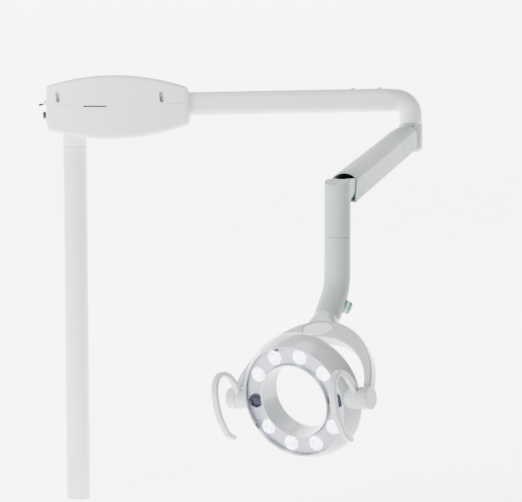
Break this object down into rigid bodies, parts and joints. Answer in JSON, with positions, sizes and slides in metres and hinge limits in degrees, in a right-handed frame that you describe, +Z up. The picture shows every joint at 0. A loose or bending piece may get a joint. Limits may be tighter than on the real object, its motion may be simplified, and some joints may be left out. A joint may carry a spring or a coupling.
{
  "type": "surgical light",
  "caption": "Ring-shaped surgical lamp head in a yoke, on a balanced spring arm and a long boom that swivel on an upright post.",
  "frame": {"origin": "centre of the post's lower end", "axes": "+X along the boom away from the post, +Y to the back, +Z up the post"},
  "size_m": [0.8163, 0.8506, 0.9045],
  "materials": {
    "boom_paint": "satin",
    "arm_paint": "satin",
    "housing_plastic": "satin",
    "arm_plastic": "satin",
    "head_plastic": "gloss",
    "badge_plastic": "gloss",
    "black_plastic": "satin",
    "bush_plastic": "satin",
    "steel": "brushed",
    "chrome": "polished",
    "brass": "satin",
    "cast_aluminium": "satin",
    "winding": "satin",
    "circuit_board": "satin",
    "lit_ring": "gloss",
    "reflector": "satin",
    "clear_cover": "clear",
    "lens": "clear",
    "sensor_window": "gloss"
  },
  "bodies": {
    "post": {"post_tube": "boom_paint", "post_bushes": "bush_plastic", "thrust_washer": "brass"},
    "boom": {"boom_spindle": "steel", "chassis_plate": "steel", "chassis_screws": "steel", "boom_saddle": "cast_aluminium", "housing_upper_cover": "housing_plastic", "housing_lower_cover": "housing_plastic", "cover_screws": "steel", "vent_strip": "black_plastic", "transformer_core": "steel", "transformer_winding": "winding", "driver_board": "circuit_board", "toggle_switch": "chrome", "fuse_holder": "black_plastic", "boom_tube": "boom_paint", "boom_elbow": "boom_paint", "elbow_screws": "steel", "elbow_bush": "bush_plastic"},
    "toggle_lever": {"toggle_bat": "black_plastic"},
    "upper_knuckle": {"upper_knuckle": "arm_paint", "upper_pins": "steel", "upper_spindle": "steel"},
    "spring_arm": {"arm_frame": "steel", "arm_neck": "arm_paint", "arm_sleeve": "arm_paint", "upper_hood": "arm_plastic", "lower_hood": "arm_plastic", "balance_spring": "steel", "spring_rod": "steel", "spring_seats": "brass"},
    "parallel_link": {"parallel_link": "steel"},
    "lower_knuckle": {"lower_knuckle": "arm_paint", "lower_pins": "steel", "lower_spindle": "steel"},
    "head_tube": {"head_tube": "arm_paint", "head_tube_bush": "bush_plastic", "slant_bush": "bush_plastic", "dimmer_boss": "arm_plastic", "indicator_ring": "lit_ring"},
    "dimmer_knob": {"dimmer_knob": "arm_plastic"},
    "yoke": {"yoke": "head_plastic", "yoke_spindle": "steel", "yoke_badge": "badge_plastic", "hub_caps": "head_plastic", "friction_washers": "black_plastic"},
    "head": {"head_housing": "head_plastic", "reflector_plate": "reflector", "clear_cover": "clear_cover", "led_board": "circuit_board", "heat_sink": "cast_aluminium", "led_lenses": "lens", "sensor_bodies": "black_plastic", "sensor_windows": "sensor_window", "pivot_bosses": "head_plastic", "pivot_pins": "steel", "handle_left": "head_plastic", "handle_right": "head_plastic", "cover_catches": "black_plastic"}
  },
  "joints": [
    {"name": "post_swivel", "type": "hinge", "parent": "post", "child": "boom", "pos_m": [0, 0, 0.76], "axis": [0, 0, 1], "range_deg": [-170, 170]},
    {"name": "elbow_swivel", "type": "hinge", "parent": "boom", "child": "upper_knuckle", "pos_m": [0.712, 0, 0.806], "axis": [0, 0, 1], "range_deg": [-35, 200]},
    {"name": "arm_lift", "type": "hinge", "parent": "upper_knuckle", "child": "spring_arm", "pos_m": [0.712, 0, 0.776], "axis": [0.9426, -0.3338, 0], "range_deg": [-25, 28]},
    {"name": "upper_link_pivot", "type": "hinge", "parent": "upper_knuckle", "child": "parallel_link", "pos_m": [0.712, 0, 0.788], "axis": [0.9426, -0.3338, 0], "range_deg": [-25, 28]},
    {"name": "lower_link_level", "type": "hinge", "parent": "spring_arm", "child": "lower_knuckle", "pos_m": [0.53031, -0.51308, 0.668], "axis": [0.9426, -0.3338, 0], "range_deg": [-28, 25]},
    {"name": "tube_swivel", "type": "hinge", "parent": "lower_knuckle", "child": "head_tube", "pos_m": [0.53031, -0.51308, 0.599], "axis": [0, 0, 1], "range_deg": [-160, 160]},
    {"name": "yoke_swivel", "type": "hinge", "parent": "head_tube", "child": "yoke", "pos_m": [0.45932, -0.65121, 0.3343], "axis": [-0.3047, -0.5928, -0.7455], "range_deg": [-90, 90]},
    {"name": "head_tilt", "type": "hinge", "parent": "yoke", "child": "head", "pos_m": [0.45932, -0.65121, 0.3343], "axis": [0.8285, -0.5511, 0.0997], "range_deg": [-48, 60]},
    {"name": "dimmer_turn", "type": "hinge", "parent": "head_tube", "child": "dimmer_knob", "pos_m": [0.52117, -0.53087, 0.48564], "axis": [0.924, 0.0059, -0.3823], "range_deg": [0, 270]},
    {"name": "toggle_throw", "type": "hinge", "parent": "boom", "child": "toggle_lever", "pos_m": [-0.0555, 0.012, 0.849], "axis": [0, 1, 0], "range_deg": [0, 28]}
  ],
  "couplings": [
    {"joint": "upper_link_pivot", "follows": "arm_lift", "ratio": 1},
    {"joint": "lower_link_level", "follows": "arm_lift", "ratio": -1}
  ]
}
